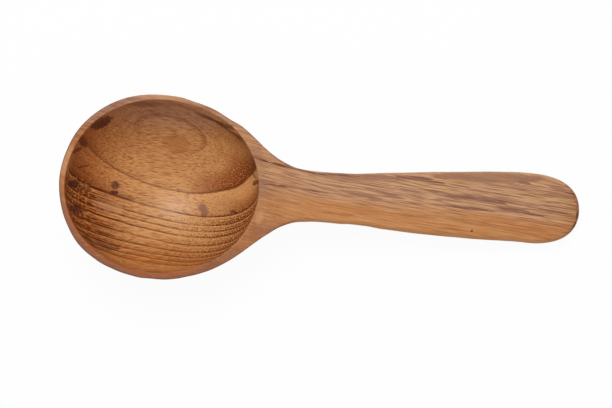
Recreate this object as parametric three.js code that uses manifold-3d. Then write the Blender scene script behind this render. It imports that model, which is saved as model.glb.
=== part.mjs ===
// A round scoop of a wooden spoon, carved in one piece from a teak billet.
// Millimetres, +Z up. The spoon lies as it does on a table: the belly of its bowl and the end of its
// handle touch z = 0, +X runs from the bowl to the handle, and the origin is under the middle of the spoon.
//
// It is drawn face up, with the flat face at z = 0 and the middle of the mouth at x = y = 0:
// a blank whose ribs run round the plan outline, from which the hollow of the bowl is cut.

import * as THREE from "three";
import { mergeVertices } from "three/addons/utils/BufferGeometryUtils.js";
import Module from "manifold-3d";

// Bowl
const MOUTH_LENGTH = 79.4; // mouth of the hollow, along the spoon
const MOUTH_WIDTH = 71.6; // mouth of the hollow, across the spoon
const MOUTH_TURN = 5.2; // degrees that the carver set the mouth askew
const MOUTH_SHIFT = 0.3; // distance that the mouth sits to one side
const HOLLOW_DEPTH = 31;
const FLOOR_THICKNESS = 5; // wood under the lowest point of the hollow
const NOSE_RIM = 2.5; // width of the rim at the nose
const SIDE_RIM = 1.7; // width of the rim at the sides
const NOSE_LENGTH = 37.5; // from the nose to the widest place of the bowl
const LIP_ROUND = 0.5; // eased edge round the mouth
const RIM_ROUND = 0.7; // eased edge round the outside of the bowl

// Neck
const NECK_DISTANCE = 25.5; // from the mouth to the narrowest place
const NECK_WIDTH = 20.7;
const NECK_THICKNESS = 13.5;

// Handle
const HANDLE_LENGTH = 112.6; // from the narrowest place to the end
const GRIP_WIDTH = 29.4;
const GRIP_THICKNESS = 11;
const TIP_LENGTH = 20.5; // from the widest place of the grip to the end
const GRIP_CROWN = 0.9; // rise of the face from the edges of the grip to its middle
const GRIP_ROUND = 2.2; // eased edge round the grip

// Sweep of the curves: how far each one runs on in its first direction before it turns
const SHOULDER_SWEEP = 43.9; // outline, leaving the bowl
const NECK_SWEEP = 30.7; // outline, reaching the neck
const WAIST_SWEEP = 24.4; // outline, leaving the neck
const GRIP_SWEEP = 43.5; // outline, reaching the widest place of the grip
const BELLY_SWEEP = 34; // underside, leaving the lowest point
const THROAT_SWEEP = 30; // underside, reaching the neck
const TIP_FULLNESS = 0.634; // share of the corner that the end of the handle fills

// Roundness of the ribs: 2 is an ellipse, and more is squarer
const BOWL_SQUARENESS = 2;
const GRIP_SQUARENESS = 2.4;

// Fineness of the facets
const STATIONS = 84; // ribs along each side
const FACE_STEPS = 4; // from the middle of the face to its edge
const EDGE_STEPS = 3; // round an eased edge
const BELLY_STEPS = 12; // from an edge to the middle of the underside
const MOUTH_STEPS = 72; // round the mouth
const HOLLOW_STEPS = 14; // from the mouth to the bottom of the hollow

// Places along the spoon
const MOUTH_END = MOUTH_LENGTH / 2;
const NOSE_X = -MOUTH_END - NOSE_RIM;
const WIDEST_X = NOSE_X + NOSE_LENGTH;
const NECK_X = MOUTH_END + NECK_DISTANCE;
const END_X = NECK_X + HANDLE_LENGTH;
const GRIP_X = END_X - TIP_LENGTH;
const BOWL_HALF = MOUTH_WIDTH / 2 + SIDE_RIM;
const NECK_HALF = NECK_WIDTH / 2;
const GRIP_HALF = GRIP_WIDTH / 2;
const BELLY_DEPTH = HOLLOW_DEPTH + FLOOR_THICKNESS;

const { lerp, smoothstep, clamp, degToRad } = THREE.MathUtils;
const QUARTER = Math.PI / 2;

// Half of the plan outline, from the nose round one side to the end of the handle
function halfOutline() {
  const path = new THREE.Path();
  path.absellipse(WIDEST_X, 0, NOSE_LENGTH, BOWL_HALF, Math.PI, QUARTER, true);
  path.bezierCurveTo(
    WIDEST_X + SHOULDER_SWEEP, BOWL_HALF,
    NECK_X - NECK_SWEEP, NECK_HALF,
    NECK_X, NECK_HALF,
  );
  path.bezierCurveTo(
    NECK_X + WAIST_SWEEP, NECK_HALF,
    GRIP_X - GRIP_SWEEP, GRIP_HALF,
    GRIP_X, GRIP_HALF,
  );
  path.bezierCurveTo(
    GRIP_X + TIP_FULLNESS * TIP_LENGTH, GRIP_HALF,
    END_X, TIP_FULLNESS * GRIP_HALF,
    END_X, 0,
  );
  return path;
}

// Depth of the underside along the middle of the spoon, from the lowest point of the belly to the grip
function undersideProfile() {
  const path = new THREE.Path();
  path.moveTo(0, BELLY_DEPTH);
  path.bezierCurveTo(
    BELLY_SWEEP, BELLY_DEPTH,
    NECK_X - THROAT_SWEEP, NECK_THICKNESS,
    NECK_X, NECK_THICKNESS,
  );
  path.lineTo(GRIP_X, GRIP_THICKNESS);
  return path;
}

// Height of a profile at x, found by halving, as x only grows along it
function heightAt(path, x) {
  let low = 0;
  let high = 1;
  while (high - low > 1e-7) {
    const middle = (low + high) / 2;
    if (path.getPoint(middle).x < x) low = middle;
    else high = middle;
  }
  return path.getPoint(high).y;
}

// One rib: points of [share of the way from the middle to the edge, height], from the middle of the
// face over the eased edge to the middle of the underside, which is a superellipse
function ribProfile(x, reach, depth) {
  const onHandle = smoothstep(x, MOUTH_END, NECK_X);
  const crown = GRIP_CROWN * smoothstep(x, NECK_X, GRIP_X);
  const round = Math.min(lerp(RIM_ROUND, GRIP_ROUND, onHandle), reach / 2);
  const power = 2 / lerp(BOWL_SQUARENESS, GRIP_SQUARENESS, onHandle);
  const faceShare = 1 - round / reach;
  const points = [];
  for (let i = 0; i < FACE_STEPS; i++) {
    const share = (faceShare * i) / FACE_STEPS;
    points.push([share, -crown * share ** 2]);
  }
  for (let i = 0; i < EDGE_STEPS; i++) {
    const angle = (QUARTER * i) / EDGE_STEPS;
    const share = faceShare + (1 - faceShare) * Math.sin(angle);
    points.push([share, -crown * share ** 2 - round * (1 - Math.cos(angle))]);
  }
  const top = crown + round;
  for (let i = 0; i <= BELLY_STEPS; i++) {
    const angle = (QUARTER * i) / BELLY_STEPS;
    const out = Math.max(Math.cos(angle), 0) ** power;
    points.push([out, -top - (depth - top) * Math.sin(angle) ** power]);
  }
  return points;
}

// Profile of the hollow, from its bottom up to the eased edge of the mouth and clear of the face:
// points of [share of the mouth, distance past the mouth, height]
function hollowProfile() {
  const points = [];
  for (let i = 0; i <= HOLLOW_STEPS; i++) {
    const angle = (QUARTER * i) / HOLLOW_STEPS;
    points.push([Math.sin(angle), 0, -LIP_ROUND - (HOLLOW_DEPTH - LIP_ROUND) * Math.cos(angle)]);
  }
  for (let i = 1; i <= EDGE_STEPS; i++) {
    const angle = (QUARTER * i) / EDGE_STEPS;
    points.push([1, LIP_ROUND * (1 - Math.cos(angle)), -LIP_ROUND * (1 - Math.sin(angle))]);
  }
  points.push([1, LIP_ROUND, HOLLOW_DEPTH], [0, 0, HOLLOW_DEPTH]);
  return points;
}

// A closed skin over a ring of ribs, which all have as many points and meet at their first and last ones
function skin(ribs) {
  const count = ribs[0].length;
  const index = [];
  ribs.forEach((rib, i) => {
    const next = (i + 1) % ribs.length;
    for (let j = 0; j + 1 < count; j++) {
      const [a, b] = [i * count + j, i * count + j + 1];
      const [c, d] = [next * count + j, next * count + j + 1];
      index.push(a, c, b, b, c, d);
    }
  });
  return new THREE.BufferGeometry().setFromPoints(ribs.flat()).setIndex(index);
}

// The blank: ribs fan out from the belly at the nose and from the grip at the end, and run square
// across the spoon between them
function blank() {
  const side = halfOutline().getSpacedPoints(STATIONS);
  const outline = [...side, ...side.slice(1, -1).reverse().map((p) => new THREE.Vector2(p.x, -p.y))];
  const underside = undersideProfile();
  return skin(
    outline.map((edge) => {
      const middle = new THREE.Vector2(clamp(edge.x, 0, GRIP_X), 0);
      const reach = edge.distanceTo(middle);
      return ribProfile(middle.x, reach, heightAt(underside, middle.x)).map(([share, z]) => {
        const point = middle.clone().lerp(edge, share);
        return new THREE.Vector3(point.x, point.y, z);
      });
    }),
  );
}

// The hollow: its profile carried round the oval mouth, which is turned and shifted a little
function hollow() {
  const profile = hollowProfile();
  const ribs = [];
  for (let i = 0; i < MOUTH_STEPS; i++) {
    const angle = (2 * Math.PI * i) / MOUTH_STEPS;
    ribs.push(
      profile.map(([share, past, z]) => {
        const x = Math.cos(angle) * ((share * MOUTH_LENGTH) / 2 + past);
        const y = Math.sin(angle) * ((share * MOUTH_WIDTH) / 2 + past);
        return new THREE.Vector3(x, y, z);
      }),
    );
  }
  return skin(ribs)
    .rotateZ(degToRad(MOUTH_TURN))
    .translate(0, MOUTH_SHIFT, 0);
}

const wasm = await Module();
wasm.setup();

// A skin as a solid, without the facets that have no area where its ribs meet
function solidOf(geometry) {
  const merged = mergeVertices(geometry, 1e-4);
  const corners = merged.index.array;
  const triVerts = [];
  for (let i = 0; i < corners.length; i += 3) {
    const [a, b, c] = corners.slice(i, i + 3);
    if (a !== b && b !== c && c !== a) triVerts.push(a, b, c);
  }
  return new wasm.Manifold(
    new wasm.Mesh({
      numProp: 3,
      vertProperties: merged.attributes.position.array,
      triVerts: new Uint32Array(triVerts),
    }),
  );
}

function geometryOf(solid) {
  const mesh = solid.getMesh();
  const geometry = new THREE.BufferGeometry();
  geometry.setAttribute("position", new THREE.BufferAttribute(mesh.vertProperties, 3));
  geometry.setIndex(new THREE.BufferAttribute(mesh.triVerts, 1));
  geometry.computeVertexNormals();
  return geometry;
}

// The angle at which the spoon lies: tilted until the handle touches the table as well as the belly
function restTilt(geometry) {
  const position = geometry.getAttribute("position");
  const lift = (tilt) => {
    let bowl = Infinity;
    let handle = Infinity;
    for (let i = 0; i < position.count; i++) {
      const x = position.getX(i);
      const height = position.getZ(i) * Math.cos(tilt) - x * Math.sin(tilt);
      if (x < NECK_X) bowl = Math.min(bowl, height);
      else handle = Math.min(handle, height);
    }
    return handle - bowl;
  };
  let low = 0;
  let high = QUARTER / 2;
  while (high - low > 1e-7) {
    const middle = (low + high) / 2;
    if (lift(middle) > 0) low = middle;
    else high = middle;
  }
  return high;
}

const teak = new THREE.MeshStandardMaterial({ color: 0xb98452, roughness: 0.55, metalness: 0 });
const spoon = new THREE.Mesh(geometryOf(solidOf(blank()).subtract(solidOf(hollow()))), teak);
spoon.name = "spoon";

const lying = new THREE.Group();
lying.add(spoon);
lying.rotation.y = restTilt(spoon.geometry);
const box = new THREE.Box3().setFromObject(lying, true);
const middle = box.getCenter(new THREE.Vector3());
lying.position.set(-middle.x, -middle.y, -box.min.z);

const part = new THREE.Group();
part.add(lying);

export default part;
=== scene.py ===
import math

import bpy
import numpy as np
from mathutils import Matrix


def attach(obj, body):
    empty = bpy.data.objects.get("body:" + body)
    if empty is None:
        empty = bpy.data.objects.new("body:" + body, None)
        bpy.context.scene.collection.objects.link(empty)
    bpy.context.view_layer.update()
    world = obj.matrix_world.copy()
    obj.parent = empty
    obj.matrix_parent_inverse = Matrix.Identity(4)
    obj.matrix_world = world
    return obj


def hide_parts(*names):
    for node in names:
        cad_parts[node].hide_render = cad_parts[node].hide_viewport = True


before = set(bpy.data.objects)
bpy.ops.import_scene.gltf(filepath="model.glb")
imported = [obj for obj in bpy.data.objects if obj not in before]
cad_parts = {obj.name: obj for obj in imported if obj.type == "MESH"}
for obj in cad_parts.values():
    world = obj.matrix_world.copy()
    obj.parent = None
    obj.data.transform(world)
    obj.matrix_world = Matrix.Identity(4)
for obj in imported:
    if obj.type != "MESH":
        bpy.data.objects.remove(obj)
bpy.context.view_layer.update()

bl_info = {
    "name": "Carved wooden spoon",
    "version": (1, 0, 0),
    "blender": (4, 5, 0),
    "location": "View3D > Sidebar > Spoon",
    "description": "A teak scoop spoon carved in one piece, on a plain white stage",
    "category": "Object",
}

MM = 0.001

# Sweep of the curves, in millimetres: how far each runs on in its first direction before it turns
SHOULDER_SWEEP = 43.9
NECK_SWEEP = 30.7
WAIST_SWEEP = 24.4
GRIP_SWEEP = 43.5
BELLY_SWEEP = 34.0
THROAT_SWEEP = 30.0
TIP_FULLNESS = 0.634

# Roundness of the ribs: 2 is an ellipse, and more is squarer
BOWL_SQUARENESS = 2.0
GRIP_SQUARENESS = 2.4

# Fineness of the surfaces
STATIONS = 240
BELLY_STEPS = 40
EDGE_STEPS = 6
FACE_STEPS = 8
LIP_STEPS = 5
HOLLOW_STEPS = 48
CURVE_STEPS = 400

# Steps of a millimetre to which points are rounded when those that lie together are welded
WELD_STEPS = 1e5

# Rows of the face run to the mouth up to this share of the way to the neck, and are drawn together within this bearing
FACE_SHARE = 0.5
FACE_BEARING = 70.0

# Search for the tilt at rest: where the bowl ends and the handle starts, the steepest tilt in radians, and halvings
BOWL_END = 40.0
HANDLE_START = 100.0
STEEPEST_TILT = 0.5
HALVINGS = 40

# Sideways wander of the hand-cut shape, in millimetres: places along the spoon, and the shift there
SWAY_PLACES = (-45.0, 0.0, 65.0, 93.0, 145.0, 178.0)
SWAY_SHIFTS = (0.4, 0.5, -0.2, -0.3, 0.3, -0.25)

# Height of the low waves of hand work along, across and up, in millimetres
WAVE_HEIGHTS = (0.08, 0.08, 0.07)

# Unevenness of the hand-cut outline and mouth: bearings from the middle of the bowl in degrees from the handle, and
# how far the edge stands out there, in millimetres; the same for the two flanks of the handle, by places along it; and
# how much longer the end of the handle is
UNEVEN_BEARINGS = (-180.0, -168.0, -158.0, -142.0, -128.0, -118.0, -110.0, -98.0, -84.0, -78.0, -70.0, -60.0, -48.0,
                   25.0, 30.0, 38.0, 50.0, 62.0, 72.0, 82.0, 110.0, 135.0, 150.0, 162.0, 180.0)
UNEVEN_STEPS = (-0.15, -0.22, -0.1, 0.35, 0.0, -0.3, -0.25, 0.3, 0.9, 0.8, 0.45, 0.3, 0.1,
                0.4, 0.55, 0.4, -0.7, -0.33, -0.3, 0.22, 0.15, -0.1, 0.0, -0.18, -0.08)
MOUTH_BEARINGS = (-180.0, -140.0, -120.0, -90.0, -60.0, -45.0, 30.0, 45.0, 60.0, 75.0, 90.0, 105.0, 120.0, 135.0, 150.0,
                  165.0, 180.0)
MOUTH_STEPS = (0.0, 0.0, 0.1, -0.35, -0.1, 0.0, 0.0, -0.1, -0.65, -0.85, -0.55, 0.05, 0.28, 0.45, 0.3, 0.1, 0.0)
FLANK_PLACES = (44.0, 50.0, 55.0, 61.0, 74.0, 80.0, 86.0, 93.0, 112.0, 120.0, 126.0, 132.0, 138.0, 144.0, 151.0, 160.0)
UPPER_STEPS = (0.0, -0.05, -0.2, -0.1, -0.25, -0.4, -0.25, -0.1, -0.25, -0.5, -0.58, -0.42, -0.18, -0.08, 0.0, -0.15)
LOWER_STEPS = (0.0, -0.4, -0.5, -0.15, -0.15, -0.55, -0.6, -0.2, -0.05, 0.05, 0.0, -0.02, -0.2, -0.33, -0.33, -0.05)
END_PLACES = (155.0, 178.0)
END_SHIFTS = (0.0, 0.6)

# Camera, which looks straight down: place in metres, turn in degrees, lens and sensor in millimetres
CAMERA_PLACE = (-0.00754, -0.00330, 0.73372)
CAMERA_TURN = 3.15
CAMERA_LENS = 100.0
CAMERA_SENSOR = 36.0

# Lamp: place, aim and size in metres, and power in watts
LAMP_PLACE = (-0.15, 0.40, 0.97)
LAMP_AIM = (-0.03, 0.0, 0.02)
LAMP_SIZE = 0.5
LAMP_POWER = 6.6

# How much of the floor's white the camera sees as a glow, and the strength of the light all round
FLOOR_GLOW = 0.95
WORLD_LIGHT = 0.45
WHITE = (1.0, 1.0, 1.0, 1.0)


def size(name, description, value):
    """A length property with a default in millimetres."""
    return bpy.props.FloatProperty(name=name, description=description, default=value * MM,
                                   min=0.0, unit="LENGTH", precision=4)


def tint(name, description, value):
    """A colour property with a default in linear red, green and blue."""
    return bpy.props.FloatVectorProperty(name=name, description=description, default=value,
                                         min=0.0, max=1.0, size=3, subtype="COLOR")


class SpoonSizes(bpy.types.PropertyGroup):
    """Sizes of the carved spoon."""

    mouth_length: size("Mouth length", "Mouth of the hollow, along the spoon", 79.4)
    mouth_width: size("Mouth width", "Mouth of the hollow, across the spoon", 71.6)
    mouth_turn: bpy.props.FloatProperty(name="Mouth turn", description="How far the mouth is set askew",
                                        default=math.radians(5.2), subtype="ANGLE")
    mouth_shift: size("Mouth shift", "How far the mouth sits to one side", 0.3)
    hollow_depth: size("Hollow depth", "Depth of the bowl's hollow", 31.0)
    floor_thickness: size("Floor thickness", "Wood under the lowest point of the hollow", 5.0)
    nose_rim: size("Nose rim", "Width of the rim at the nose", 2.5)
    side_rim: size("Side rim", "Width of the rim at the sides", 1.7)
    nose_length: size("Nose length", "From the nose to the widest place of the bowl", 37.5)
    lip_round: size("Lip round", "Eased edge round the mouth", 0.5)
    rim_round: size("Rim round", "Eased edge round the outside of the bowl", 0.7)
    neck_distance: size("Neck distance", "From the mouth to the narrowest place", 25.5)
    neck_width: size("Neck width", "Width of the narrowest place", 20.7)
    neck_thickness: size("Neck thickness", "Thickness of the narrowest place", 13.5)
    handle_length: size("Handle length", "From the narrowest place to the end", 112.6)
    grip_width: size("Grip width", "Widest place of the handle", 29.4)
    grip_thickness: size("Grip thickness", "Thickness of the handle's widest place", 11.0)
    tip_length: size("Tip length", "From the widest place of the grip to the end", 20.5)
    grip_crown: size("Grip crown", "Rise of the handle's face from edge to middle", 0.9)
    grip_round: size("Grip round", "Eased edge round the grip", 2.2)


class TeakColours(bpy.types.PropertyGroup):
    """Colours of the oiled teak, and of the stage."""

    rosy: tint("Rosy wood", "Paler pinkish wood of the handle's upper half", (0.51, 0.258, 0.132))
    golden: tint("Golden wood", "Smooth golden wood of the handle's lower half", (0.53, 0.215, 0.068))
    hollow: tint("Hollow wood", "Wood inside the bowl", (0.625, 0.305, 0.110))
    late: tint("Late wood", "Dark line at the end of a year's growth", (0.10, 0.020, 0.004))
    streak: tint("Mineral streak", "Purple-brown streaks along the handle", (0.18, 0.068, 0.045))
    pore: tint("Pores", "Open pores of the wood", (0.13, 0.025, 0.004))
    stain: tint("Stain", "Dark knots and stains near the rim", (0.078, 0.020, 0.016))
    floor: tint("Floor", "Plain white floor", (0.9, 0.9, 0.9))


def eased(t):
    """Smooth rise from 0 to 1: three times the square less twice the cube."""
    t = np.clip(t, 0.0, 1.0)
    return t * t * (3.0 - 2.0 * t)


def eased_between(places, values, at):
    """Values between given places, eased from each to the next."""
    places, values = np.asarray(places), np.asarray(values)
    k = np.clip(np.searchsorted(places, at) - 1, 0, len(places) - 2)
    return values[k] + (values[k + 1] - values[k]) * eased((at - places[k]) / (places[k + 1] - places[k]))


def bezier(start, leave, reach, end):
    """Cubic curve: at each share of the way, the mean of four poles weighted by the binomial terms."""
    t = np.linspace(0.0, 1.0, CURVE_STEPS)[:, None]
    poles = [np.asarray(p, dtype=float) for p in (start, leave, reach, end)]
    return ((1 - t) ** 3 * poles[0] + 3 * (1 - t) ** 2 * t * poles[1]
            + 3 * (1 - t) * t ** 2 * poles[2] + t ** 3 * poles[3])


class Plan:
    """Places along the spoon in millimetres, with the mouth's middle at the start and the face at height 0."""

    def __init__(self, sizes):
        for key in SpoonSizes.__annotations__:
            setattr(self, key, getattr(sizes, key) / MM)
        self.mouth_turn = sizes.mouth_turn
        self.mouth = (self.mouth_length / 2, self.mouth_width / 2)
        self.belly_depth = self.hollow_depth + self.floor_thickness
        self.widest_x = -self.mouth[0] - self.nose_rim + self.nose_length
        self.bowl_half = self.mouth[1] + self.side_rim
        self.mouth_end = self.mouth[0]
        self.neck_x = self.mouth_end + self.neck_distance
        self.neck_half = self.neck_width / 2
        self.end_x = self.neck_x + self.handle_length
        self.grip_x = self.end_x - self.tip_length
        self.grip_half = self.grip_width / 2

    def half_outline(self):
        """Half of the plan outline from the nose to the end of the handle, at even steps along it: a quarter
        of an ellipse round the nose, then three cubic curves over the shoulder, the flank and the tip."""
        a = np.linspace(np.pi, np.pi / 2, CURVE_STEPS)
        nose = np.stack([self.widest_x + self.nose_length * np.cos(a), self.bowl_half * np.sin(a)], -1)
        shoulder = bezier((self.widest_x, self.bowl_half), (self.widest_x + SHOULDER_SWEEP, self.bowl_half),
                          (self.neck_x - NECK_SWEEP, self.neck_half), (self.neck_x, self.neck_half))
        flank = bezier((self.neck_x, self.neck_half), (self.neck_x + WAIST_SWEEP, self.neck_half),
                       (self.grip_x - GRIP_SWEEP, self.grip_half), (self.grip_x, self.grip_half))
        corner = self.grip_x + TIP_FULLNESS * (self.end_x - self.grip_x)
        tip = bezier((self.grip_x, self.grip_half), (corner, self.grip_half),
                     (self.end_x, TIP_FULLNESS * self.grip_half), (self.end_x, 0.0))
        line = np.concatenate([nose, shoulder[1:], flank[1:], tip[1:]])
        gone = np.concatenate([[0.0], np.cumsum(np.linalg.norm(np.diff(line, axis=0), axis=1))])
        at = np.linspace(0.0, gone[-1], STATIONS + 1)
        half = np.stack([np.interp(at, gone, line[:, 0]), np.interp(at, gone, line[:, 1])], -1)
        half[[0, -1], 1] = 0.0
        return half

    def depth(self, x):
        """Depth of the underside below the face: level under the bowl, a cubic curve up to the neck, and a
        straight taper along the handle."""
        throat = bezier((0.0, self.belly_depth), (BELLY_SWEEP, self.belly_depth),
                        (self.neck_x - THROAT_SWEEP, self.neck_thickness), (self.neck_x, self.neck_thickness))
        line = np.concatenate([throat, [[self.grip_x, self.grip_thickness], [self.end_x, self.grip_thickness]]])
        return np.interp(x, line[:, 0], line[:, 1])


def spoon_grids(plan):
    """The spoon's skin as two grids of points, each a row of stations round the outline by steps across.

    The outer grid goes at each station from the middle of the underside up a superellipse to the edge, over a
    quarter round, and across the face to the mouth or to the middle of the handle. The inner grid carries on
    from the mouth at the bowl's stations: over a quarter round and down a half ellipsoid to its bottom."""
    half = plan.half_outline()
    loop = np.concatenate([half, half[-2:0:-1] * (1.0, -1.0)])
    foot = np.stack([np.clip(loop[:, 0], 0.0, plan.grip_x), np.zeros(len(loop))], -1)
    outwards = (loop - foot) / np.linalg.norm(loop - foot, axis=1)[:, None]
    bearing = np.degrees(np.arctan2(loop[:, 1], loop[:, 0]))
    flank = np.where(loop[:, 1] > 0.0, eased_between(FLANK_PLACES, UPPER_STEPS, loop[:, 0]),
                     eased_between(FLANK_PLACES, LOWER_STEPS, loop[:, 0]))
    loop = loop + outwards * (eased_between(UNEVEN_BEARINGS, UNEVEN_STEPS, bearing) + flank)[:, None]
    reach = np.linalg.norm(loop - foot, axis=1)

    on_handle = eased((loop[:, 0] - plan.mouth_end) / (plan.neck_x - plan.mouth_end))
    edge = plan.rim_round + (plan.grip_round - plan.rim_round) * on_handle
    power = BOWL_SQUARENESS + (GRIP_SQUARENESS - BOWL_SQUARENESS) * on_handle
    crown = plan.grip_crown * eased((loop[:, 0] - plan.neck_x) / (plan.grip_x - plan.neck_x))
    top = crown + edge
    depth = plan.depth(foot[:, 0])

    def spread(share, height):
        """Points at a share of the way from foot to outline, and at a height."""
        flat = foot[:, None, :] + (loop - foot)[:, None, :] * share[:, :, None]
        return np.concatenate([flat, np.broadcast_to(height, share.shape)[:, :, None]], -1)

    a = np.linspace(np.pi / 2, 0.0, BELLY_STEPS + 1)[None, :]
    bend = 2.0 / power[:, None]
    cosine = np.where(a == np.pi / 2, 0.0, np.cos(a))
    belly = spread(cosine ** bend, -top[:, None] - (depth - top)[:, None] * np.sin(a) ** bend)

    a = np.linspace(0.0, np.pi / 2, EDGE_STEPS + 1)[None, 1:]
    share = 1.0 - (edge / reach)[:, None] * (1.0 - np.cos(a))
    rim = spread(share, -crown[:, None] * share ** 2 - edge[:, None] * (1.0 - np.sin(a)))

    last = int(np.argmax(half[:, 0] > plan.mouth_end + FACE_SHARE * (plan.neck_x - plan.mouth_end)))
    bearing = np.arctan2(loop[:, 1] - plan.mouth_shift, loop[:, 0])
    start = abs(bearing[last])
    turned = np.radians(FACE_BEARING)
    pull = np.clip((turned - abs(bearing)) / (turned - start), 0.0, 1.0) ** 2
    side = np.where(np.arange(len(loop)) <= STATIONS, 1.0, -1.0)
    aim = side * np.maximum(abs(bearing) - start * pull, 0.0)
    aim[0] = np.pi
    towards = np.stack([np.cos(aim), np.sin(aim)], -1)
    long, wide = plan.mouth
    width = 1.0 / np.hypot(np.cos(aim - plan.mouth_turn) / long, np.sin(aim - plan.mouth_turn) / wide)
    width = width + eased_between(MOUTH_BEARINGS, MOUTH_STEPS, np.degrees(aim))
    middle = np.array([0.0, plan.mouth_shift])

    inside = width + plan.lip_round
    mouth = middle + inside[:, None] * towards
    end = middle + np.array([1.0, 0.0]) * inside[last]
    gone = np.clip((loop[:, 0] - half[last, 0]) / (plan.neck_x - half[last, 0]), 0.0, 1.0)
    spine_x = np.where(gone < 1.0, end[0] + (plan.neck_x - end[0]) * gone, foot[:, 0])
    spine = np.stack([spine_x, end[1] * (1.0 - eased(gone))], -1)
    bowl = loop[:, 0] < half[last, 0]
    target = np.where(bowl[:, None], mouth, spine)

    across = np.linspace(0.0, 1.0, FACE_STEPS + 1)[None, 1:]
    brink = rim[:, -1, :2]
    flat = brink[:, None, :] + (target - brink)[:, None, :] * across[:, :, None]
    share = (1.0 - edge / reach)[:, None] * (1.0 - across)
    face = np.concatenate([flat, (-crown[:, None] * share ** 2)[:, :, None]], -1)
    outer = np.concatenate([belly, rim, face], 1)

    ring = np.arange(-last, last + 1) % len(loop)
    a = np.linspace(0.0, np.pi / 2, LIP_STEPS + 1)[None, :]
    lip_out = width[ring, None] + plan.lip_round * (1.0 - np.sin(a))
    lip_down = -plan.lip_round * (1.0 - np.cos(a)) + np.zeros_like(lip_out)
    a = np.linspace(0.0, np.pi / 2, HOLLOW_STEPS + 1)[None, 1:]
    bowl_out = width[ring, None] * np.where(a == np.pi / 2, 0.0, np.cos(a))
    bowl_down = -plan.lip_round - (plan.hollow_depth - plan.lip_round) * np.sin(a) + np.zeros_like(bowl_out)
    out = np.concatenate([lip_out, bowl_out], 1)
    down = np.concatenate([lip_down, bowl_down], 1)
    flat = middle + towards[ring, None, :] * out[:, :, None]
    flat[[0, -1]] = middle + np.array([1.0, 0.0]) * out[[0, -1]][:, :, None]
    inner = np.concatenate([flat, down[:, :, None]], -1)
    return outer, inner


def grid_triangles(rows, columns, first, closed):
    """Two triangles for each cell of a grid of points, whose rows may close into a loop."""
    i = np.arange(rows if closed else rows - 1)[:, None]
    j = np.arange(columns - 1)[None, :]
    k = (i + 1) % rows
    a, b, c, d = (first + u * columns + v for u, v in ((i, j), (i, j + 1), (k, j + 1), (k, j)))
    return np.concatenate([np.stack([a, b, c], -1).reshape(-1, 3), np.stack([a, c, d], -1).reshape(-1, 3)])


def weld(points, triangles):
    """Which points to keep where several lie together, and the triangles on those that are kept."""
    _, keep, place = np.unique(np.rint(points * WELD_STEPS).astype(np.int64), axis=0,
                               return_index=True, return_inverse=True)
    triangles = place.reshape(-1)[triangles]
    a, b, c = triangles.T
    return keep, triangles[(a != b) & (b != c) & (c != a)]


def carve_by_hand(points):
    """The slow wander of hand work: a sideways sway along the spoon, eased from place to place, and long low
    waves a tenth of a millimetre high."""
    x, y, z = points.T
    sway = eased_between(SWAY_PLACES, SWAY_SHIFTS, x)
    longer = eased_between(END_PLACES, END_SHIFTS, x)
    wave_x = np.sin(y / 7.9 + 0.4) * np.cos(z / 6.1)
    wave_y = np.sin(x / 8.3 + z / 9.7) + 0.6 * np.sin(x / 4.9 + 1.3)
    wave_z = np.sin(x / 9.1 + 0.7) * np.sin(y / 6.7 + 1.1)
    waves = np.stack([wave_x, wave_y, wave_z], -1) * WAVE_HEIGHTS
    return points + waves + np.stack([longer, sway, 0 * x], -1)


def resting(points):
    """Tilt about the cross axis at which belly and handle end touch the table, found by halving, and the shift
    in millimetres that then centres the spoon over the origin with its lowest point at height 0."""
    bowl, end = points[points[:, 0] < BOWL_END], points[points[:, 0] > HANDLE_START]

    def lowest(p, tilt):
        """Height of the lowest of some points after a tilt."""
        return (p[:, 2] * np.cos(tilt) - p[:, 0] * np.sin(tilt)).min()

    low, high = 0.0, STEEPEST_TILT
    for _ in range(HALVINGS):
        tilt = (low + high) / 2
        low, high = (tilt, high) if lowest(end, tilt) > lowest(bowl, tilt) else (low, tilt)
    along = points[:, 0] * np.cos(tilt) + points[:, 2] * np.sin(tilt)
    return tilt, np.array([-(along.min() + along.max()) / 2, 0.0, -lowest(points, tilt)])


def placed(points, tilt, shift):
    """Points turned by the tilt and moved by the shift, in metres."""
    x, y, z = points.T
    turned = np.stack([x * np.cos(tilt) + z * np.sin(tilt), y, z * np.cos(tilt) - x * np.sin(tilt)], -1)
    return (turned + shift) * MM


def mesh_from(name, points, triangles, inside):
    """A smooth mesh of triangles from whole arrays, with how far each point is inside the hollow."""
    mesh = bpy.data.meshes.new(name)
    mesh.vertices.add(len(points))
    mesh.vertices.foreach_set("co", points.astype(np.float32).ravel())
    mesh.loops.add(triangles.size)
    mesh.loops.foreach_set("vertex_index", triangles.astype(np.int32).ravel())
    mesh.polygons.add(len(triangles))
    mesh.polygons.foreach_set("loop_start", np.arange(0, triangles.size, 3, dtype=np.int32))
    mesh.polygons.foreach_set("use_smooth", np.ones(len(triangles), dtype=bool))
    mesh.attributes.new("inside", "FLOAT", "POINT").data.foreach_set("value", inside.astype(np.float32))
    mesh.update(calc_edges=True)
    if mesh.validate():
        raise RuntimeError(f"the mesh of {name} has broken faces")
    return mesh


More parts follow.
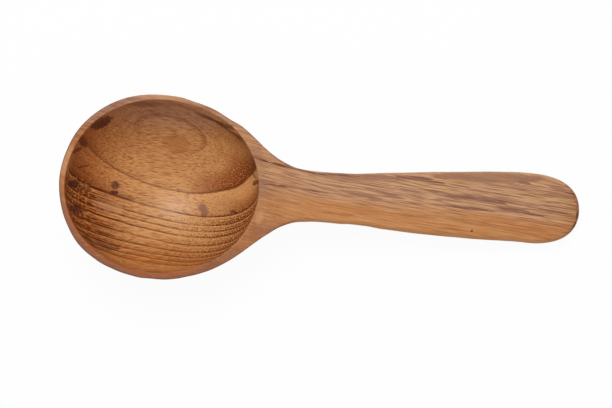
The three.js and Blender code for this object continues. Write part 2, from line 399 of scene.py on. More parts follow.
class Field:
    """Something that varies over the wood: a shader socket on which sums are written as on a number."""

    def __init__(self, socket):
        self.socket = socket

    def node(self, kind, inputs=(), out=0, stops=(), **settings):
        """Adds a node of a kind to the material: its settings and ramp stops first, then values and links."""
        tree = self.socket.id_data
        made = tree.nodes.new(kind)
        for key, value in settings.items():
            setattr(made, key, value)
        if stops:
            ramp = made.color_ramp.elements
            while len(ramp) < len(stops):
                ramp.new(1.0)
            for element, (position, value) in zip(ramp, stops):
                element.position = position
                element.color = (value, value, value, 1.0)
        for key, value in dict(inputs).items():
            if isinstance(value, Field):
                tree.links.new(value.socket, made.inputs[key])
            else:
                made.inputs[key].default_value = value
        return Field(made.outputs[out])

    def maths(self, operation, *terms):
        """One sum on fields and numbers."""
        return self.node("ShaderNodeMath", enumerate(terms), operation=operation)

    def __add__(self, other):
        return self.maths("ADD", self, other)

    def __radd__(self, other):
        return self.maths("ADD", other, self)

    def __sub__(self, other):
        return self.maths("SUBTRACT", self, other)

    def __rsub__(self, other):
        return self.maths("SUBTRACT", other, self)

    def __mul__(self, other):
        return self.maths("MULTIPLY", self, other)

    def __rmul__(self, other):
        return self.maths("MULTIPLY", other, self)

    def __truediv__(self, other):
        return self.maths("DIVIDE", self, other)

    def __neg__(self):
        return 0.0 - self

    def __abs__(self):
        return self.maths("ABSOLUTE", self)

    def after(self, other):
        """The same value but for a millionth of another, which the renderer then works out first: long lists one
        after the other need less of its small store of values."""
        return self.maths("MULTIPLY_ADD", other, 1e-6, self)

    def between(self, low, high, way="SMOOTHSTEP"):
        """Rise from 0 at low to 1 at high, smooth or straight."""
        return self.node("ShaderNodeMapRange", {"Value": self, "From Min": low, "From Max": high},
                         interpolation_type=way)


def length(*sides):
    """Root of the sum of the squares."""
    total = sides[0] * sides[0]
    for side in sides[1:]:
        total = total + side * side
    return total.maths("SQRT", total)


def joined(x, y, z):
    """Three fields as a vector."""
    some = next(part for part in (x, y, z) if isinstance(part, Field))
    return some.node("ShaderNodeCombineXYZ", enumerate((x, y, z)))


def noise(vector, detail=2.0, roughness=0.5):
    """Cloudy noise about 0, from -0.5 to 0.5."""
    return vector.node("ShaderNodeTexNoise", {"Vector": vector, "Scale": 1.0, "Detail": detail,
                                              "Roughness": roughness}) - 0.5


def ramp(at, stops):
    """A number read off a straight ramp between stops."""
    grey = at.node("ShaderNodeValToRGB", {0: at}, stops=stops)
    return grey.node("ShaderNodeSeparateColor", {0: grey})


def mixed(factor, under, over):
    """One colour over another by a factor; a colour is a field, or red, green and blue."""
    under, over = (colour if isinstance(colour, Field) else (*colour, 1.0) for colour in (under, over))
    return factor.node("ShaderNodeMix", {0: factor, 6: under, 7: over}, out=2, data_type="RGBA")


# Axis of the growth rings: its lean across and its fall per millimetre along, how far it lies to the side and below the
# face, the radius of the strongest line, and the radius on which places round the rings are measured
AXIS_LEAN = 0.2294
AXIS_FALL = 0.1325
AXIS_SIDE = 90
AXIS_DEPTH = 60.445
RING_RADIUS = 94.5
ROUND_RADIUS = 105

# Growth rings in the hollow, in millimetres across the rings from the strongest line, with the darkness of each
# line and of the wood that leads up to it
RING_LINES = ((0, 0.75, 0.7), (8.7, 1, 0.9), (12.97, 0.85, 0.8), (16.03, 0.8, 0.8), (19.05, 0.95, 0.9),
              (23.43, 0.85, 0.8), (27.43, 1, 0.9), (30.58, 0.9, 0.9), (33.34, 0.8, 0.8), (36, 0.7, 0.8))
RING_FIRST, RING_SPAN = -6, 46

# The eye, where the hollow cuts the rings level: the oval of the strongest ring, and the small heart in it, each as
# middle along and across, half length and half width, in millimetres; and how far they lean, in radians
EYE_RING = (1.414, 17.974, 37.23, 17.38)
EYE_HEART = (6.6, 19.2, 6.4, 3.6)
EYE_LEAN = -0.243

# Faint ovals between the two, each with its darkness
EYE_OVALS = ((3.65, 23.05, 15.6, 7.3, 0.5), (4, 21, 22.5, 10.3, 0.22), (3, 19.6, 29.5, 13.6, 0.2))

# Cells of the pores, round and across the rings in millimetres
PORE_LENGTH = 0.95
PORE_WIDTH = 0.85

# Purple streaks of the face: from and to, along and across in millimetres, half width, and darkness
STREAKS = (
    (41, 6, 48, 4.6, 0.5, 0.5), (67, 5.8, 77, 4.1, 0.6, 0.45), (71, 3.7, 91, 0.1, 0.7, 0.8),
    (56, 9, 104, 9.9, 2, 0.55), (87, 4.5, 103, 0.7, 0.8, 0.6), (98, 4.8, 109, 4.6, 0.6, 0.45),
    (84, 1, 93, 0.2, 0.6, 0.7), (95, 10.3, 116, 10, 1, 0.95), (108, 5.7, 120, 4.5, 0.7, 0.85),
    (112, 1.7, 119, 1.3, 0.4, 0.6), (116, 3.7, 137, 3.2, 1.2, 0.95), (130, 3.8, 148, 1.7, 1.1, 0.9),
    (112, -0.2, 146, -2.2, 0.7, 0.95), (140, 0.1, 158, -1.7, 1.2, 0.9), (108, 11.6, 168, 12.9, 2.8, 0.6),
    (149, 11.4, 157, 10.6, 0.7, 0.8), (152, 13.8, 164, 13, 0.9, 0.7), (163, 9.9, 174, 8.4, 0.8, 0.5),
    (104, 6.3, 126, 3.6, 0.5, 0.7), (122, 3.7, 150, 0.9, 0.7, 0.8), (134, 0.6, 163, -2.9, 0.6, 0.75),
    (128, 4.6, 162, 1.8, 0.45, 0.55),
)

# Thin brown lines of the face, in the same way
LINES = (
    (33, 15.9, 46, 12.5, 0.5, 1), (41, 13.7, 57, 10.5, 0.5, 1), (52, 11.4, 70, 8.8, 0.5, 0.9),
    (62, 9.9, 88, 9.3, 0.5, 0.6), (39, 4.2, 58.5, 3, 0.45, 0.9), (55, 3.3, 71, 1.3, 0.45, 0.9),
    (106, 9.4, 121, 8.6, 0.45, 0.8), (118, 8.9, 131, 7.3, 0.4, 0.6), (140, 3.2, 156, 0.8, 0.45, 0.7),
    (150, -1.2, 165, -3.4, 0.5, 1), (152, 1.2, 179, -2.3, 0.45, 0.8), (170, 7.9, 178, 6.7, 0.5, 0.9),
    (42, -2, 60, -3.1, 0.6, 0.3), (64, -6.2, 83, -6.8, 0.5, 0.4), (142, -9.3, 163, -11.2, 0.4, 0.4),
    (88, -4.6, 120, -6.6, 0.5, 0.3), (76, -1, 104, -3.4, 0.5, 0.3), (120, -7, 150, -8.6, 0.5, 0.3),
)

# Stains: middle along and across in millimetres, half length, half width, lean in degrees, and darkness
STAINS = (
    (-26.2, 25.4, 5.2, 2, 29, 0.85), (-33.4, 17.2, 3, 1.4, -43, 0.75), (-35.4, 13.6, 2.4, 0.8, 35, 0.7),
    (-36, -0.2, 2.7, 1.7, 0, 0.9), (-31.4, -1.7, 3.8, 1.1, -15, 0.5), (-34.3, -10.6, 3.1, 1.6, -20, 0.85),
    (-25, -24, 8, 1.6, -20.6, 0.4), (-17.7, -25.7, 3.2, 1.2, -15, 0.4),
    (-18.4, -2.9, 2, 0.9, 0, 0.95), (-12.7, -4.5, 3.8, 1, -12, 0.4),
    (31.6, -8.4, 1.4, 0.9, 0, 0.65), (38.2, 7.6, 2, 0.4, -64, 0.5),
    (-18.2, 0.3, 1.8, 1.8, 0, 0.78), (38.9, 4.4, 0.7, 1.3, -20, 0.8),
    (4, -34.9, 10, 0.5, 0, 0.6), (25.6, 27.3, 5, 0.55, -24, 0.7), (17.5, 30.4, 6, 0.5, -19, 0.5),
    (-32, 7.3, 2.6, 0.5, 15, 0.6), (-20.3, 7.3, 3.6, 0.4, -6, 0.4), (131.4, -10.8, 0.5, 0.5, 0, 1),
    (177.4, -1.9, 0.8, 1.4, 0, 0.8), (176.8, -6.3, 1, 1.7, -20, 0.8),
)

# Purple marks, in the same way: a square one, and a long one under the rim
MARKS = ((19.4, -7.2, 1.9, 1.9, 0, 0.75), (20.2, -9.4, 1.5, 2.2, 0, 0.8), (-9.5, 34.3, 9, 1, 4, 0.6))

# Paler and duskier patches of the hollow and the rim, in the same way
PALE = ((-20.3, -9.1, 6, 2.2, -14, 0.4), (1.5, 36.3, 8, 1.5, -4, 0.45), (-39.4, 8.8, 2.4, 6.5, -13, 0.4),
        (-4, 37.6, 10, 1.4, 3, 0.4), (40.6, -10, 1.6, 3, -14, 0.35),
        (10, 33.2, 6, 1.5, -12, 0.3))
DUSKY = ((38, 15.5, 2.6, 6.5, 22, 0.3), (-40.2, -10.5, 2, 5, 15, 0.35), (30.7, -26, 4, 1.6, 38, 0.45),
         (43, -15, 4.5, 1.7, 30, 0.4), (29, -4.5, 5, 2.5, 10, 0.2))

# Other tones of the wood, in linear red, green and blue: the face, the shoulder and the outside
YELLOW_PATCH = (0.57, 0.305, 0.11)
NECK_WOOD = (0.5, 0.225, 0.08)
RUDDY_WOOD = (0.28, 0.068, 0.02)
SHOULDER_DARK = (0.22, 0.07, 0.034)
SHOULDER_PALE = (0.66, 0.34, 0.15)
BELLY_WOOD = (0.51, 0.215, 0.08)
TIP_WOOD = (0.4, 0.135, 0.03)
CUT_OUTSIDE = (0.3, 0.08, 0.018)
FACE_PALE = (0.77, 0.48, 0.25)
FIBRE_DARK = (0.24, 0.06, 0.014)

# The rim
RIM_LOWER = (0.3, 0.107, 0.052)
RIM_SIDE = (0.47, 0.18, 0.056)
RIM_UPPER = (0.46, 0.24, 0.135)
RIM_DARK = (0.25, 0.075, 0.026)
RIM_PALE = (0.64, 0.33, 0.13)
RIM_WARM = (0.42, 0.127, 0.034)
# Grey painted shade for the rounded outer edges of the rim and of the shoulder
RIM_EDGE_SHADE = (0.25, 0.125, 0.08)
BRINK_SHADE = (0.23, 0.11, 0.072)

# The hollow, with its rings and eye
EYE_BROWN = (0.43, 0.15, 0.045)
HEART_BROWN = (0.4, 0.13, 0.034)
LOWER_WALL = (0.43, 0.125, 0.022)
UPPER_WALL = (0.58, 0.31, 0.2)
NOSE_WALL = (0.58, 0.19, 0.045)
CUT_WALL = (0.46, 0.09, 0.011)
LEFT_WALL = (0.24, 0.044, 0.006)
RIGHT_WALL = (0.36, 0.095, 0.02)
# The next two darken the hollow just under the lower rim: partly a dark stain, partly painted shade
LIP_STAIN_AND_SHADE = (0.26, 0.05, 0.005)
RIM_STAIN_AND_SHADE = (0.27, 0.035, 0.002)
HOLLOW_PALE = (0.78, 0.46, 0.17)
EARLY_WOOD = (0.8, 0.42, 0.16)
RING_BROWN = (0.24, 0.07, 0.018)
GLINT = (0.84, 0.38, 0.12)

# Patches of hollow and rim
PALE_TONE = (0.68, 0.36, 0.17)
DUSKY_TONE = (0.26, 0.11, 0.065)


def oval_of(x, y, middle_x, middle_y, half_x, half_y, lean):
    """Distance from the middle of a leaning oval, as a share of its half sizes: 1 on the oval."""
    c, s = math.cos(lean), math.sin(lean)
    along, across = x - middle_x, y - middle_y
    return length((along * c + across * s) / half_x, (across * c - along * s) / half_y)


def outside_oval(x, y, middle_x, middle_y, half_x, half_y, lean):
    """Distance outside a leaning oval in millimetres, nearly: the share of its half sizes less 1, over how fast
    that share grows there."""
    c, s = math.cos(lean), math.sin(lean)
    along, across = (x - middle_x) * c + (y - middle_y) * s, (y - middle_y) * c - (x - middle_x) * s
    share = length(along / half_x, across / half_y)
    return (share - 1) * share / length(along / half_x ** 2, across / half_y ** 2)


def strongest(parts):
    """The largest of several fields, each compared as soon as it is made."""
    parts = iter(parts)
    most = next(parts)
    for part in parts:
        most = most.maths("MAXIMUM", most, part)
    return most


def along_lines(x, ragged, lines):
    """Darkness of each line of a list: full on the line, with ragged edges, and tapered to both ends."""
    for x0, y0, x1, y1, half, amount in lines:
        slope = (y1 - y0) / (x1 - x0)
        ease = 0.42 * (x1 - x0)
        taper = x.between(x0, x0 + ease) * x.between(x1, x1 - ease)
        off = abs(ragged - slope * x - (y0 - slope * x0)) / (0.1 + 0.9 * taper)
        yield off.between(half * 1.15, half * 0.5) * taper.between(0, 0.3) * amount


def in_spots(x, y, rough_edge, spots, soft):
    """Darkness of each spot of a list: full inside its oval, with a rough and more or less soft edge."""
    for middle_x, middle_y, half_x, half_y, turn, amount in spots:
        oval = oval_of(x, y, middle_x, middle_y, half_x, half_y, math.radians(turn))
        blot = oval + rough_edge * min(1, half_x / 4)
        yield blot.between(0.95 + soft, 0.95 - soft) * amount


def on_ovals(x, y, wander, ovals):
    """Darkness of each faint oval of a list: it rises towards the oval and ends just past it."""
    for middle_x, middle_y, half_x, half_y, amount in ovals:
        off = (oval_of(x, y, middle_x, middle_y, half_x, half_y, EYE_LEAN) - 1) * half_y + wander * 0.3
        yield off.between(-1.8, 0) * off.between(0.4, 0) * amount


class Teak:
    """Oiled teak, laid on in layers from the plain wood to the stains.

    Growth rings are measured from a leaning axis, with an oval eye where the hollow cuts them level; fibres and
    streaks drift across the handle; pores stand in cells along the rings. Places are in millimetres: x along from
    the middle of the mouth, y across, and z up from the face."""

    def __init__(self, colours, plan, tilt, shift):
        self.colours, self.plan = colours, plan
        self.material = bpy.data.materials.new("oiled_teak")
        self.material.use_nodes = True
        source = Field(self.material.node_tree.nodes.new("ShaderNodeTexCoord").outputs["Object"])
        place = source.node("ShaderNodeMapping", {"Vector": source, "Location": tuple(shift * MM),
                                                  "Rotation": (0, tilt, 0), "Scale": (MM, MM, MM)},
                            vector_type="TEXTURE")
        self.x, self.y, self.z = (place.node("ShaderNodeSeparateXYZ", {0: place}, out=i) for i in range(3))
        self.measure_cut(source)
        self.measure_rings()
        self.measure_fibres()
        self.measure_pores()
        self.lay_face()
        self.lay_rim()
        self.lay_hollow()
        self.lay_fibres()
        self.lay_streaks()
        self.lay_rings()
        self.lay_eye()
        self.lay_spots()
        self.polish()

    def lay(self, amount, tone):
        """Lays a tone over the colour so far."""
        self.colour = mixed(amount, self.colour, tone)

    def measure_cut(self, source):
        """The hollow, the flanks and the belly, 1 on them and 0 off them, and how far wood is cut across the grain."""
        self.hollow = source.node("ShaderNodeAttribute", out=2, attribute_name="inside").between(0.25, 0.75)
        self.outside = 1 - self.hollow
        facing = source.node("ShaderNodeTexCoord", out=1)
        self.end_grain = abs(facing.node("ShaderNodeSeparateXYZ", {0: facing})).between(0.15, 0.85)
        self.flank = abs(facing.node("ShaderNodeSeparateXYZ", {0: facing}, out=1)).between(0.3, 0.9) * self.outside
        self.belly = self.outside * self.z.between(-1.5, -5) * self.x.between(85, 50)

    def measure_rings(self):
        """Places across the rings, in the eye outside its oval, and round them; the line and the lead-up of each."""
        x, y, z, hollow = self.x, self.y, self.z, self.hollow
        self.wander = noise(joined(x / 26, y / 14, z / 14), 2) * 2.2
        lean = x / 30
        bow = lean * (lean * (lean - 1.1) - 1.3 - 1.6 * (y / 30)) * hollow
        tree_y, tree_z = y + AXIS_LEAN * x - AXIS_SIDE, z + AXIS_FALL * x + AXIS_DEPTH
        self.rings = length(tree_y, tree_z) - RING_RADIUS + bow
        self.round_rings = tree_y.maths("ARCTAN2", tree_y, tree_z) * ROUND_RADIUS
        self.oval = oval_of(x, y, *EYE_RING, EYE_LEAN)
        eye = outside_oval(x, y, *EYE_RING, EYE_LEAN)
        eye = eye.maths("MINIMUM", eye, 14 * (self.oval - 1)) + 60 * (hollow - 1)
        self.across_rings = self.rings.maths("SMOOTH_MAX", self.rings, eye, 1.5) + self.wander * 0.5
        core, fade = [(0, 0)], [(0, 0)]
        for line, dark, leading in RING_LINES:
            middle = (line - RING_FIRST) / RING_SPAN
            core += [(middle - 0.8 / RING_SPAN, 0), (middle, dark), (middle + 0.33 / RING_SPAN, 0)]
            fade += [(middle, leading), (middle + 0.3 / RING_SPAN, 0)]
        phase = (self.across_rings - RING_FIRST) / RING_SPAN
        self.ring_line, self.ring_fade = ramp(phase, core), ramp(phase, fade)
        self.below = self.across_rings.between(-2, 1)

    def measure_fibres(self):
        """Fibres of the face: broad bands, streaks and hair lines along the drifting grain."""
        x, z = self.x, self.z
        drift = x.maths("MINIMUM", x - 65, 0) * 0.1 + x * 0.1
        self.flow = self.y + drift + self.wander * 0.4
        self.bands = noise(joined(x / 60, self.flow / 2.6, z / 3), 2) * 4
        self.lines = noise(joined(x / 60, self.flow / 0.6, z / 1.5), 1, 0.8) * 6
        self.hairs = noise(joined(x / 10, self.flow / 0.36, z / 0.8), 1) * 11

    def measure_pores(self):
        """Grain of the hollow: rows of pores along the rings, and threads along the wood."""
        x, y, z, wander, across_rings = self.x, self.y, self.z, self.wander, self.across_rings
        cells = joined((self.round_rings + 0.3 * x + wander * 0.6) / PORE_LENGTH,
                       (self.rings + wander * 0.5) / PORE_WIDTH, 0)
        self.pores = cells.node("ShaderNodeTexVoronoi", {"Vector": cells, "Scale": 1, "Randomness": 0.6},
                                voronoi_dimensions="2D")
        self.dots = self.pores.between(0.5, 0.2)
        row_angle = across_rings * 4.6 - 1.57 + noise(joined(x / 9, y / 9, z / 9)) * 3
        self.rows = row_angle.maths("SINE", row_angle)
        self.ring_hairs = noise(joined(x / 24, across_rings / 0.8, 0), 2, 0.8) * 5
        self.threads = noise(joined(x / 3.6, (y + 0.08 * x) / 0.4, z / 0.6), 1) * 8
        self.patchy = noise(joined(x / 7, self.flow / 3, z / 6), 2, 0.6) * 4
        self.uneven = noise(joined(x / 13, across_rings / 2, 0), 1) * 4

    def lay_face(self):
        """Face: rosy above, golden below, with yellower patches, the rim's own wood, and a ruddy, grainy shoulder."""
        x, y, z, patchy = self.x, self.y, self.z, self.patchy
        self.gold = (y + 0.048 * x - 2.3 + self.bands * 2.2).between(5, -4.5)
        self.colour = mixed(self.gold, self.colours.rosy, self.colours.golden)
        yellow = (noise(joined(x / 22, self.flow / 3.2, z / 4), 1) * 4).between(0.1, 1) * (1 - self.gold)
        self.lay(yellow * (0.8 - 0.4 * x.between(110, 80)), YELLOW_PATCH)
        self.rim = x.between(42, 20)
        rim_wood = mixed(y.between(-24, 2), RIM_LOWER, RIM_SIDE)
        rim_wood = mixed(y.between(16, 32), rim_wood, RIM_UPPER)
        self.lay(self.rim, rim_wood)
        self.lay(x.between(64, 44) * (1 - self.rim) * 0.6, NECK_WOOD)
        self.ruddy = x.between(62, 46) * (patchy * 0.4 + 0.2 + 0.6 * y.between(-2, -20)).between(0, 1)
        self.ruddy = self.ruddy * (1 - self.rim)
        self.lay(self.ruddy * 0.6, RUDDY_WOOD)
        self.lay(self.rim * patchy.between(0.1, 0.9) * 0.7, RIM_DARK)
        self.lay(self.rim * (-patchy).between(0.1, 0.9) * 0.5 * y.between(-24, 5), RIM_PALE)
        grainy = noise(joined(x / 3.2, y / 1.1, z / 2), 2, 0.7) * 4
        shoulder = x.between(62, 34)
        self.lay(shoulder * grainy.between(0.1, 1.2) * 0.45, SHOULDER_DARK)
        self.lay(shoulder * (-grainy).between(0.1, 1.2) * 0.4, SHOULDER_PALE)

    def lay_rim(self):
        """The rim, warm next to the mouth, with grey painted shade towards its rounded outer edge and along the
        shoulder's rounded edge; then the belly and the handle's end.
        """
        x, y, z = self.x, self.y, self.z
        self.from_mouth = outside_oval(x, y, 0, self.plan.mouth_shift, *self.plan.mouth, self.plan.mouth_turn)
        on_rim = self.outside * z.between(-4, -1.5)
        warm = self.from_mouth.between(1.3, 0.4) * y.between(-6, -20) * x.between(26, 12) * on_rim
        self.lay(warm * 0.5, RIM_WARM)
        # Painted shade: grey laid on the rim towards its rounded outer edge, stronger at the upper left
        edge_shade_strength = 0.3 + 0.35 * x.between(-8, -16) * x.between(-32, -24) * y.between(20, 28)
        self.lay(self.from_mouth.between(0.6, 2) * x.between(40, 20) * on_rim * edge_shade_strength, RIM_EDGE_SHADE)
        # Painted shade: grey laid on the rounded edge of the shoulder and neck
        self.brink = x.between(62, 46) * z.between(0.02, -0.06) * z.between(-4, -1.5)
        self.brink = self.brink * y.between(36, 30) * self.outside
        self.lay(self.brink * 0.8, BRINK_SHADE)
        self.lay(self.belly * 0.75, BELLY_WOOD)
        self.lay(x.between(162, 179) * (0.7 - 0.35 * y.between(0, 6)), TIP_WOOD)

    def lay_hollow(self):
        """Hollow: browner in the eye, rosy at the top, dark and red where cut across, and dark and red just under the
        lower rim, partly stain and partly painted shade.
        """
        x, y, end_grain = self.x, self.y, self.end_grain
        wood = mixed(self.oval.between(1, 0.2) * 0.3, self.colours.hollow, EYE_BROWN)
        wood = mixed(y.between(-18, -32) * 0.9, wood, LOWER_WALL)
        wood = mixed(y.between(22, 31) * 0.9, wood, UPPER_WALL)
        left_low = x.between(-13, -31) * y.between(4, -10)
        wood = mixed(x.between(5, -30) * 0.3, wood, NOSE_WALL)
        cut = end_grain * end_grain
        redder = 0.22 + 0.38 * x.between(10, -20) + 0.3 * y.between(8, -14)
        wood = mixed(cut * redder, wood, CUT_WALL)
        wood = mixed(left_low * 0.42, wood, LEFT_WALL)
        # Partly stain, partly painted shade: darker and redder just under the lip on the lower side
        wood = mixed(self.z.between(-5, -0.5) * y.between(4, -20) * 0.38, wood, LIP_STAIN_AND_SHADE)
        rim_stain_and_shade = self.from_mouth.between(-2.2, -0.6) * y.between(-8, -20)
        rim_stain_and_shade = rim_stain_and_shade * x.between(16, 6) * x.between(-34, -22)
        wood = mixed(rim_stain_and_shade * 0.6, wood, RIM_STAIN_AND_SHADE)
        self.lay(self.hollow, wood)
        self.lay(end_grain * self.outside * 0.7, CUT_OUTSIDE)

    def lay_fibres(self):
        """Paler and darker fibres of the face, and hairs and threads of the hollow."""
        hollow, outside, gold, rim = self.hollow, self.outside, self.gold, self.rim
        fibres = (self.bands * 0.5 + (self.lines + self.hairs * 0.9) * (1 - 0.6 * gold)) * outside
        fibres = fibres * (1 - 0.7 * strongest([self.flank, self.belly]))
        grain = (self.ring_hairs * 0.7 * self.below + self.threads * 0.8) * hollow
        shade = fibres + grain
        pale = mixed(hollow, FACE_PALE, HOLLOW_PALE)
        paler = shade.between(0, 1.4, "LINEAR")
        held_back = (0.3 * strongest([rim, self.ruddy]) + 0.12 * self.x.between(100, 70)) * outside
        self.lay(paler * (0.42 - held_back), pale)
        dark = mixed(strongest([gold, hollow, rim]), self.colours.streak, FIBRE_DARK)
        self.lay((-shade).between(0, 1.4, "LINEAR") * (0.65 + 0.1 * hollow), dark)

    def lay_streaks(self):
        """Streaks and thin lines of the face. Each list waits for the one before it."""
        ragged = self.y + self.wander * 0.15 + self.lines * 0.14 + self.hairs * 0.05
        fibrous = (self.lines * 0.8 + self.hairs * 0.8 + 0.8).between(0, 1) * self.outside
        fibrous = fibrous * self.z.between(-6, -3)
        self.last = fibrous
        for marks, tone in ((STREAKS, self.colours.streak), (LINES, self.colours.late)):
            self.last = strongest(along_lines(self.x.after(self.last), ragged.after(self.last), marks)) * fibrous
            self.lay(self.last, tone)

    def lay_rings(self):
        """Growth rings: paler just after each line, dotted and darker towards the next; fainter on the belly."""
        x, y, hollow, belly, end_grain = self.x, self.y, self.hollow, self.belly, self.end_grain
        across_rings, below, dots, ring_fade = self.across_rings, self.below, self.dots, self.ring_fade
        early = (1 - ring_fade).between(0.6, 1) * below * hollow
        early = early * (0.2 + 0.35 * end_grain)
        dulled = x.between(5, -18) * (0.4 + 0.45 * across_rings.between(8.7, 7.5))
        self.lay(early * (1 - dulled), EARLY_WOOD)
        wall = x.between(8, 28) * across_rings.between(-13, -4) * across_rings.between(0.3, -0.4)
        wall = wall * y.between(19, 9)
        open_wood = 0.1 + 0.9 * strongest([across_rings.between(7.5, 8.7), wall])
        lost = 1 - 0.85 * (x + 0.5 * y).between(42, 44.5) * y.between(12.5, 16)
        late = ring_fade * ring_fade * (0.2 + 0.7 * end_grain) + wall * 0.2
        late = late * (1 - 0.5 * open_wood * (1 - dots))
        dotted = dots * open_wood * (0.05 + 0.95 * end_grain + 0.3 * x.between(0, 20))
        late = late + dotted * (0.55 + 0.55 * ring_fade)
        in_rows = self.rows.between(0, 1) * below * open_wood * (0.1 + 0.4 * end_grain)
        late = late + in_rows * (0.3 + 0.7 * ring_fade)
        self.lay(wall * hollow * 0.75, RIGHT_WALL)
        self.lay((late * lost * hollow).between(0, 1, "LINEAR"), self.colours.pore)
        ring = self.ring_line * (self.uneven * 0.35 + 0.65 + 0.6 * end_grain).between(0, 1) * lost * hollow
        self.ring = ring * (1 - 0.55 * x.between(-10, -26) * across_rings.between(3, 1))
        self.lay(self.ring.between(0, 1, "LINEAR"), self.colours.late)
        self.lay(ring_fade * ring_fade * belly * 0.4, RING_BROWN)
        self.lay(self.ring_line * belly * (self.uneven * 0.3 + 0.5).between(0, 1), self.colours.late)
        glints = self.pores.between(0.5, 0.8) * end_grain * hollow * open_wood
        self.lay(glints * 0.5, GLINT)

    def lay_eye(self):
        """The heart of the eye and the faint ovals round it, and the specks of the face."""
        x, y = self.x, self.y
        heart = oval_of(x, y, *EYE_HEART, EYE_LEAN) + self.threads * 0.03
        self.lay(heart.between(1.05, 0.9) * self.hollow * 0.45, HEART_BROWN)
        self.last = strongest(on_ovals(x.after(self.last), y.after(self.last), self.wander, EYE_OVALS)) * self.hollow
        self.lay(self.last * (0.35 + 0.65 * (y + 0.4 * x).between(17, 27)), RING_BROWN)
        specks = self.dots * self.outside * (0.06 + 0.3 * self.end_grain)
        self.lay(specks, self.colours.pore)

    def lay_spots(self):
        """Patches, marks and stains, with rough edges. Each list waits for the one before it."""
        x, y, z, hollow = self.x, self.y, self.z, self.hollow
        rough_edge = noise(joined(x / 2.2, y / 1.6, z / 2.6), 3, 0.65) * 1.4
        mottled = (noise(joined(x / 1.1, y / 0.7, z / 1.1), 2, 0.7) * 3.6 + 1.05).between(0, 1)
        stained = hollow.maths("MAXIMUM", hollow, x.between(60, 80) * z.between(-6, -3))
        smudged = (self.threads * 0.25 + self.hairs * 0.1 + 0.85).between(0, 1)
        face = hollow.maths("MAXIMUM", hollow, z.between(-6, -3))
        for spots, tone in ((PALE, PALE_TONE), (DUSKY, DUSKY_TONE)):
            blots = in_spots(x.after(self.last), y.after(self.last), rough_edge, spots, soft=0.45)
            # Patches are held back on the painted edge shade of the shoulder
            self.last = strongest(blots) * face * (1 - 0.7 * self.brink)
            self.lay(self.last, tone)
        for spots, tone, worn, soft in ((MARKS, self.colours.streak, smudged, 0.35),
                                        (STAINS, self.colours.stain, mottled, 0.18)):
            blots = in_spots(x.after(self.last), y.after(self.last), rough_edge, spots, soft)
            self.last = strongest(blots) * stained * worn
            self.lay(self.last, tone)

    def polish(self):
        """Oil and polish: a soft shine on the level wood, hardly any where the grain is cut across or stained."""
        skin = self.material.node_tree.nodes["Principled BSDF"]
        skin.inputs["Specular IOR Level"].default_value = 0.05
        skin.inputs["Coat Roughness"].default_value = 0.36
        shine = (0.48 - 0.45 * self.end_grain) * (1 - 0.6 * self.rim * self.outside)
        shine = shine * (1 - 0.4 * self.oval.between(1.1, 0.8) * self.hollow)
        shine = shine * (1 - strongest([self.ring, self.last]))
        rough = 0.45 + 0.05 * self.lines
        bump = self.pores.node("ShaderNodeBump", {"Strength": 0.25, "Distance": 0.0001, "Height": self.pores})
        for field, into in ((self.colour, "Base Color"), (shine, "Coat Weight"),
                            (rough, "Roughness"), (bump, "Normal")):
            self.material.node_tree.links.new(field.socket, skin.inputs[into])


def seen_rays(tree):
    """1 for rays that come straight from the camera, or by a reflection or through glass."""
    rays = tree.nodes.new("ShaderNodeLightPath").outputs
    camera, glossy, through = (Field(rays[key]) for key in ("Is Camera Ray", "Is Glossy Ray", "Is Transmission Ray"))
    seen = camera.maths("MAXIMUM", camera, glossy)
    return seen.maths("MAXIMUM", seen, through)


def white_floor(colours):
    """Matt white that looks white to the camera, and still takes a faint shadow."""
    material = bpy.data.materials.new("white_floor")
    material.use_nodes = True
    tree = material.node_tree
    tree.nodes.remove(tree.nodes["Principled BSDF"])
    seen = seen_rays(tree)
    matt = seen.node("ShaderNodeBsdfDiffuse", {"Color": (*colours.floor, 1.0)})
    glow = seen.node("ShaderNodeEmission", {"Color": WHITE, "Strength": 1.0})
    both = seen.node("ShaderNodeMixShader", {0: seen * FLOOR_GLOW, 1: matt, 2: glow})
    tree.links.new(both.socket, tree.nodes["Material Output"].inputs["Surface"])
    return material


def soft_world():
    """Even light all round, and white where the camera sees past the floor."""
    world = bpy.data.worlds.new("soft_world")
    world.use_nodes = True
    tree = world.node_tree
    seen = seen_rays(tree)
    tree.links.new((seen * (1.0 - WORLD_LIGHT) + WORLD_LIGHT).socket, tree.nodes["Background"].inputs["Strength"])
    tree.nodes["Background"].inputs["Color"].default_value = WHITE
    return world


class SPOON_OT_carve(bpy.types.Operator):
    """Carve the spoon: bowl, neck and handle in one piece of teak"""

    bl_idname = "spoon.carve"
    bl_label = "Carve spoon"

    def execute(self, context):
        plan = Plan(context.scene.spoon_sizes)
        outer, inner = spoon_grids(plan)
        points = np.concatenate([outer.reshape(-1, 3), inner.reshape(-1, 3)])
        triangles = np.concatenate([
            grid_triangles(outer.shape[0], outer.shape[1], 0, True),
            grid_triangles(inner.shape[0], inner.shape[1], outer.shape[0] * outer.shape[1], False),
        ])
        steps = np.clip(np.arange(inner.shape[1]) / LIP_STEPS, 0.0, 1.0)
        inside = np.concatenate([np.zeros(outer.shape[:2]).ravel(), np.broadcast_to(steps, inner.shape[:2]).ravel()])
        keep, triangles = weld(points, triangles)
        points, inside = points[keep], inside[keep]
        tilt, shift = resting(points)
        made = placed(carve_by_hand(points), tilt, shift)
        made[:, 2] -= made[:, 2].min()
        mesh = mesh_from("carved_spoon", made, triangles, inside)
        mesh.materials.append(Teak(context.scene.teak_colours, plan, tilt, shift).material)
        piece = bpy.data.objects.new("carved_spoon", mesh)
        context.scene.collection.objects.link(piece)
        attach(piece, "root")
        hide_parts("spoon")
        return {"FINISHED"}


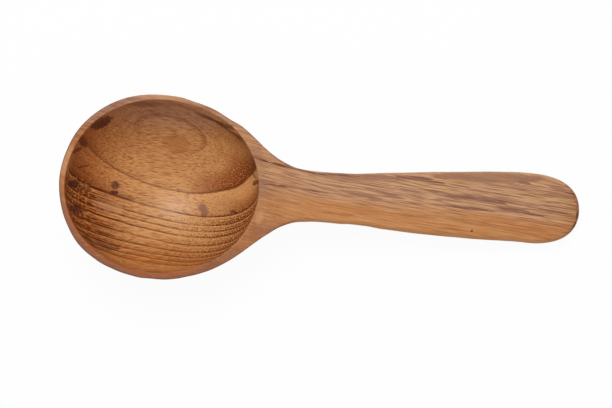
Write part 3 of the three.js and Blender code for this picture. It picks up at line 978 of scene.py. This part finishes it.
class SPOON_OT_stage(bpy.types.Operator):
    """Set the plain white floor, the soft light and the camera"""

    bl_idname = "spoon.stage"
    bl_label = "Set stage"

    def execute(self, context):
        scene = context.scene
        scene.view_settings.view_transform = "Standard"
        floor = bpy.data.objects.new("floor", bpy.data.meshes.new("floor"))
        side = 3.0
        floor.data.from_pydata([(-side, -side, 0), (side, -side, 0), (side, side, 0), (-side, side, 0)],
                               [], [(0, 1, 2, 3)])
        floor.data.materials.append(white_floor(scene.teak_colours))
        scene.collection.objects.link(floor)

        scene.world = soft_world()
        lamp = bpy.data.lights.new("soft_box", "AREA")
        lamp.shape = "DISK"
        lamp.size = LAMP_SIZE
        lamp.energy = LAMP_POWER
        box = bpy.data.objects.new("soft_box", lamp)
        box.location = LAMP_PLACE
        aim = np.array(box.location) - LAMP_AIM
        box.rotation_euler = (math.atan2(math.hypot(aim[0], aim[1]), aim[2]), 0.0,
                              math.atan2(aim[1], aim[0]) + math.pi / 2)
        scene.collection.objects.link(box)

        camera = bpy.data.objects.new("camera", bpy.data.cameras.new("camera"))
        camera.location = CAMERA_PLACE
        camera.rotation_euler = (0.0, 0.0, math.radians(CAMERA_TURN))
        camera.data.lens = CAMERA_LENS
        camera.data.sensor_width = CAMERA_SENSOR
        camera.data.sensor_fit = "HORIZONTAL"
        camera.data.clip_start = 0.01
        scene.collection.objects.link(camera)
        scene.camera = camera
        return {"FINISHED"}


class SPOON_PT_panel(bpy.types.Panel):
    """Sizes, colours and steps of the spoon"""

    bl_idname = "SPOON_PT_panel"
    bl_label = "Wooden spoon"
    bl_space_type = "VIEW_3D"
    bl_region_type = "UI"
    bl_category = "Spoon"

    def draw(self, context):
        for group in (context.scene.spoon_sizes, context.scene.teak_colours):
            for key in type(group).__annotations__:
                self.layout.prop(group, key)
        for step in STEPS:
            self.layout.operator(step.bl_idname)


STEPS = (SPOON_OT_carve, SPOON_OT_stage)
CLASSES = (SpoonSizes, TeakColours, *STEPS, SPOON_PT_panel)


def register():
    for each in CLASSES:
        bpy.utils.register_class(each)
    bpy.types.Scene.spoon_sizes = bpy.props.PointerProperty(type=SpoonSizes)
    bpy.types.Scene.teak_colours = bpy.props.PointerProperty(type=TeakColours)


def unregister():
    del bpy.types.Scene.teak_colours
    del bpy.types.Scene.spoon_sizes
    for each in reversed(CLASSES):
        bpy.utils.unregister_class(each)


def main():
    register()
    bpy.ops.spoon.carve()
    bpy.ops.spoon.stage()


if __name__ == "__main__":
    main()
